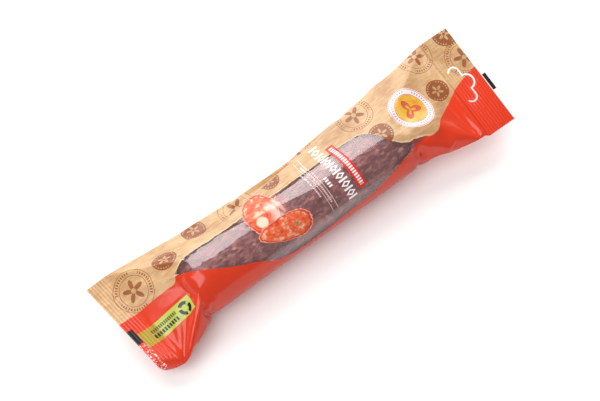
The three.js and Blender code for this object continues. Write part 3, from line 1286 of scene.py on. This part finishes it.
    def back_fin(self, film: bpy.types.Object) -> bpy.types.Object:
        """Make the back seal's fin, a narrow double strip folded flat along the underside.

        Args:
            film: The finished film.

        Returns:
            The fin.
        """
        length = self.web_length()
        along, across = self.web_places(film)
        layer = coordinates(film)
        under = np.zeros(len(film.data.polygons), bool)
        for face in film.data.polygons:
            corners = list(face.vertices)
            middle = across[corners].mean()
            stretch = along[corners]
            inside = self.web.left_seal < stretch.min() and stretch.max() < length - self.web.right_seal
            low = layer[corners, 2].mean() < self.fin_reach * MM
            under[face.index] = inside and low and 0 < middle < self.fin_width and face.normal.z < -0.5
        self.select_faces(film, under)
        bpy.ops.object.mode_set(mode="EDIT")
        bpy.ops.mesh.duplicate()
        bpy.ops.mesh.separate(type="SELECTED")
        bpy.ops.object.mode_set(mode="OBJECT")
        fin = next(piece for piece in bpy.context.selected_objects if piece is not film)
        fin.name = fin.data.name = "back_fin"
        points = coordinates(fin)
        points[:, 2] -= self.fin_drop * MM
        set_coordinates(fin, points)
        plies = fin.modifiers.new("Plies", "SOLIDIFY")
        plies.thickness = self.fin_thickness * MM
        plies.offset = 1
        apply_modifiers(fin)
        return fin

    def build(self) -> tuple[bpy.types.Object, bpy.types.Object]:
        """Make the finished film.

        Returns:
            The film and its back fin, in the frame.
        """
        film = self.flat_tube()
        self.simulate(film)
        set_coordinates(film, coordinates(film) / self.sim_scale)
        self.finish_mesh(film)
        fin = self.back_fin(film)
        finish = PrintedFilm(self.web_length()).material()
        for piece in (film, fin):
            piece.data.materials.clear()
            piece.data.materials.append(finish)
            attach(piece, "root")
        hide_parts("film_wrapper")
        return film, fin


# The sausage


@dataclass(frozen=True)
class SmokedCasing:
    """Dark red-brown smoked casing, drawn tight over coarse meat that shows through as lighter grains."""

    def material(self) -> bpy.types.Material:
        """Build the casing's finish, which reads Object coordinates.

        Returns:
            The material.
        """
        g = Graph("smoked_casing")
        place = g.node("ShaderNodeTexCoord").outputs["Object"]
        stretch = g.node("ShaderNodeMapping")
        g.plug(stretch.inputs["Vector"], place)
        g.plug(stretch.inputs["Scale"], (0.6, 1, 1))
        where = stretch.outputs[0]
        blotch = g.noise(where, 55, 4, 0.6)
        grain = g.noise(where, 290, 4, 0.65)
        crease = g.cells(where, 260, "DISTANCE_TO_EDGE")
        colour = g.blend(blotch.over(0.5, 0.3), linear("66292B"), linear("84423F"))
        colour = g.blend(grain.over(0.56, 0.12) * 0.5, colour, linear("BC786E"))
        colour = g.blend(grain.under(0.42, 0.12) * 0.6, colour, linear("431B1E"))
        # painted shade: the casing's colour is darkened along the crease lines, the same lines that the bump
        # dents in
        colour = g.blend(crease.under(0.06, 0.1) * 0.25, colour, linear("38171A"))
        fat = g.noise(where, 150, 2, 0.5)
        colour = g.blend(fat.over(0.7, 0.06) * 0.5, colour, linear("CDA295"))
        relief = grain * 0.6 + crease.under(0.2, 0.4) * -0.4 + blotch * 0.3
        normal = g.bump(relief, 0.0012, 0.8)
        rough = grain * 0.3 + 0.3
        surface = g.shader(
            "ShaderNodeBsdfPrincipled",
            base_color=colour,
            roughness=rough,
            subsurface_weight=0.06,
            subsurface_radius=(0.004, 0.001, 0.0006),
            normal=normal,
        )
        return g.finish(surface)


@dataclass
class Sausage:
    """The sausage: a blunt-ended cylinder of wrinkled casing, gathered under a clip at each end.

    Sizes are in millimetres. Every dent goes inwards from the plain outline, so that the film stays clear.
    """

    end_depth: float = 17.0  # how far each rounded end reaches in from its shoulder
    neck_radius: float = 3.0
    neck_length: float = 5.0
    tail_radius: float = 4.4
    tail_length: float = 5.0
    segments: int = 200
    rings: int = 400
    pleats: int = 13
    pleat_depth: float = 0.16  # as a share of the radius, at the necks
    pleat_start: float = 40.0  # from the tail's end, where the pleats begin
    pleat_full: float = 8.0  # and where they are deepest
    lump_depth: float = 1.3
    wrinkle_depth: float = 0.5
    grain_depth: float = 0.6
    bend: float = 0.8  # how far its middle bows out of line
    clearance: float = 0.1  # between the casing and its node's outline

    def profile(self, half: float, radius: float) -> tuple[np.ndarray, np.ndarray]:
        """Draw the plain outline's half from the middle to the tail.

        Args:
            half: From the middle to the end of the tail.
            radius: The body's radius.

        Returns:
            Distances along the axis, and radii.
        """
        shoulder = half - self.neck_length - self.tail_length
        angle = np.linspace(0, math.pi / 2, 30)
        ends = shoulder - self.end_depth + self.end_depth * np.sin(angle)
        swell = self.neck_radius + (radius - self.neck_radius) * np.clip(np.cos(angle), 0, 1) ** 0.75
        neck = shoulder + self.neck_length
        tail = [neck, neck + 0.25 * self.tail_length, neck + 0.8 * self.tail_length, half, half]
        flare = [self.neck_radius, 0.9 * self.tail_radius, self.tail_radius, 0.8 * self.tail_radius, 0.0]
        return np.concatenate([[0], ends, tail]), np.concatenate([[radius], swell, flare])

    def build(self) -> bpy.types.Object:
        """Make the sausage and dress it.

        Returns:
            The sausage, in the frame and standing for its node.
        """
        low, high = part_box("sausage")
        radius = (high.z - low.z) / 2 / MM - self.clearance
        half = (high.x - low.x) / 2 / MM
        deselect_all()
        bpy.ops.mesh.primitive_uv_sphere_add(segments=self.segments, ring_count=self.rings, radius=1)
        body = bpy.context.object
        body.name = body.data.name = "sausage_body"
        unit = coordinates(body)
        turn = np.arctan2(unit[:, 1], unit[:, 0])
        share = 1 - 2 * np.arccos(np.clip(unit[:, 2], -1, 1)) / np.pi
        along, outline = self.profile(half, radius)
        run = np.concatenate([[0], np.cumsum(np.hypot(np.diff(along), np.diff(outline)))])
        x = np.interp(np.abs(share), run / run[-1], along) * np.sign(share)
        r = np.interp(np.abs(share), run / run[-1], outline)
        from_end = half - np.abs(x)
        gathered = smooth_step((self.pleat_start - from_end) / (self.pleat_start - self.pleat_full))
        wave = np.abs(np.sin(turn * self.pleats / 2 + 0.6 * np.sin(2 * turn)))
        r = r * (1 - self.pleat_depth * gathered * (1 - wave) ** 2)
        bow = self.bend * np.cos(np.pi * x / (2 * half)) - self.bend
        points = np.column_stack([x, r * np.cos(turn) + bow, r * np.sin(turn)])
        set_coordinates(body, points * MM)
        self.wrinkle(body)
        middle = Vector(((low.x + high.x) / 2, 0, (low.z + high.z) / 2))
        set_coordinates(body, coordinates(body) + np.array(middle))
        face_outwards(body)
        bpy.ops.object.shade_smooth()
        body.data.materials.clear()
        body.data.materials.append(SmokedCasing().material())
        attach(body, "root")
        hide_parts("sausage")
        return body

    def wrinkle(self, body: bpy.types.Object) -> None:
        """Dent the casing with lumps, wrinkles and grain, each pressed in from the plain outline.

        Args:
            body: The sausage, with its middle at the origin.
        """
        face_outwards(body)
        for name, kind, size, depth in (
            ("lumps", "CLOUDS", 11.0, self.lump_depth),
            ("wrinkles", "VORONOI", 4.2, self.wrinkle_depth),
            ("grain", "CLOUDS", 1.6, self.grain_depth),
        ):
            texture = bpy.data.textures.new(name, kind)
            texture.noise_scale = size * MM
            if kind == "VORONOI":
                texture.weight_1, texture.weight_2 = -1.0, 1.0
                texture.noise_intensity = 1.6
            dent = body.modifiers.new(name, "DISPLACE")
            dent.texture = texture
            dent.texture_coords = "LOCAL"
            dent.mid_level = 1.0
            dent.strength = depth * MM
        apply_modifiers(body)


# The clips


@dataclass(frozen=True)
class ClipMetal:
    """Bare aluminium clip wire, drawn and pressed: fine scratches over a dull shine."""

    def material(self) -> bpy.types.Material:
        """Build the clips' finish, which reads Object coordinates.

        Returns:
            The material.
        """
        g = Graph("clip_metal")
        place = g.node("ShaderNodeTexCoord").outputs["Object"]
        drawn = g.node("ShaderNodeMapping")
        g.plug(drawn.inputs["Vector"], place)
        g.plug(drawn.inputs["Scale"], (6, 1, 1))
        scratch = g.noise(drawn.outputs[0], 700, 3, 0.6)
        smudge = g.noise(place, 220, 3, 0.5)
        colour = g.blend(smudge.over(0.5, 0.4), linear("B9BCC0"), linear("D6D8DA"))
        surface = g.shader(
            "ShaderNodeBsdfPrincipled",
            base_color=colour,
            metallic=1.0,
            roughness=scratch * 0.25 + 0.22,
            normal=g.bump(scratch, 0.0001, 0.6),
        )
        return g.finish(surface)


class Clips:
    """The two wire clips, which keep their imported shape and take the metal's finish."""

    names: tuple[str, ...] = ("clip_left", "clip_right")

    def dress(self) -> None:
        """Give both clips the metal."""
        metal = ClipMetal().material()
        for name in self.names:
            clip = bpy.data.objects[name]
            if not clip.data.materials:
                clip.data.materials.append(metal)
            for slot in clip.material_slots:
                slot.material = metal


# The studio


@dataclass(frozen=True)
class Softbox:
    """One rectangular lamp: the way to it from the packet in degrees, its distance and its size in metres."""

    name: str
    azimuth: float
    elevation: float
    distance: float
    width: float
    height: float
    radiance: float


@dataclass
class Studio:
    """A pale floor, softboxes and the camera."""

    azimuth: float = -38.0
    elevation: float = 65.0
    distance: float = 1.225
    target: tuple[float, float, float] = (-0.0060, 0.0086, 0.02)
    lens: float = 100.0
    floor_size: float = 6.0
    surround: float = 0.5
    softboxes: tuple[Softbox, ...] = (
        Softbox("back_box", 156, 38, 1.4, 1.8, 1.5, 3.5),
        Softbox("side_box", -80, 58, 1.5, 1.0, 1.0, 4.3),
    )

    def way(self, azimuth: float, elevation: float) -> Vector:
        """Give the direction from the packet to a place, azimuth 0 being -Y and 90 +X."""
        a, e = math.radians(azimuth), math.radians(elevation)
        return Vector((math.sin(a) * math.cos(e), -math.cos(a) * math.cos(e), math.sin(e)))

    def build(self) -> None:
        """Set the whole stage."""
        self.lay_floor()
        self.light()
        self.place_camera()

    def lay_floor(self) -> None:
        """Lay the floor, a plain matt white with a faint mottle."""
        deselect_all()
        bpy.ops.mesh.primitive_plane_add(size=self.floor_size)
        floor = bpy.context.object
        floor.name = "floor"
        g = Graph("white_table")
        place = g.node("ShaderNodeTexCoord").outputs["Object"]
        colour = g.blend(g.noise(place, 3, 2).over(0.5, 0.8), linear("F4F3F3"), linear("F8F8F8"))
        floor.data.materials.append(
            g.finish(g.shader("ShaderNodeBsdfPrincipled", base_color=colour, roughness=0.8))
        )

    def light(self) -> None:
        """Hang the softboxes and set the white surround."""
        world = bpy.data.worlds.new("surround")
        bpy.context.scene.world = world
        world.use_nodes = True
        background = world.node_tree.nodes["Background"]
        background.inputs["Color"].default_value = (1, 1, 1, 1)
        background.inputs["Strength"].default_value = self.surround
        for box in self.softboxes:
            way = self.way(box.azimuth, box.elevation)
            bpy.ops.object.light_add(type="AREA", location=way * box.distance)
            lamp = bpy.context.object
            lamp.name = box.name
            lamp.data.shape = "RECTANGLE"
            lamp.data.size, lamp.data.size_y = box.width, box.height
            lamp.data.energy = box.radiance * math.pi * box.width * box.height
            lamp.rotation_euler = (-way).to_track_quat("-Z", "Y").to_euler()

    def place_camera(self) -> None:
        """Put the camera up and make it the scene's."""
        way = self.way(self.azimuth, self.elevation)
        bpy.ops.object.camera_add(location=Vector(self.target) + way * self.distance)
        camera = bpy.context.object
        camera.rotation_euler = (-way).to_track_quat("-Z", "Y").to_euler()
        camera.data.lens = self.lens
        bpy.context.scene.camera = camera
        bpy.context.scene.view_settings.view_transform = "Standard"


def main() -> None:
    """Build the packet in order and report each piece."""
    film, fin = FilmWrapper().build()
    log.info("film: %d faces, back fin: %d faces", len(film.data.polygons), len(fin.data.polygons))
    sausage = Sausage().build()
    log.info("sausage: %d faces", len(sausage.data.polygons))
    Clips().dress()
    log.info("clips: %s", ", ".join(Clips.names))
    Studio().build()
    log.info("studio: floor, softboxes and camera")


if __name__ == "__main__":
    logging.basicConfig(level=logging.INFO)
    main()
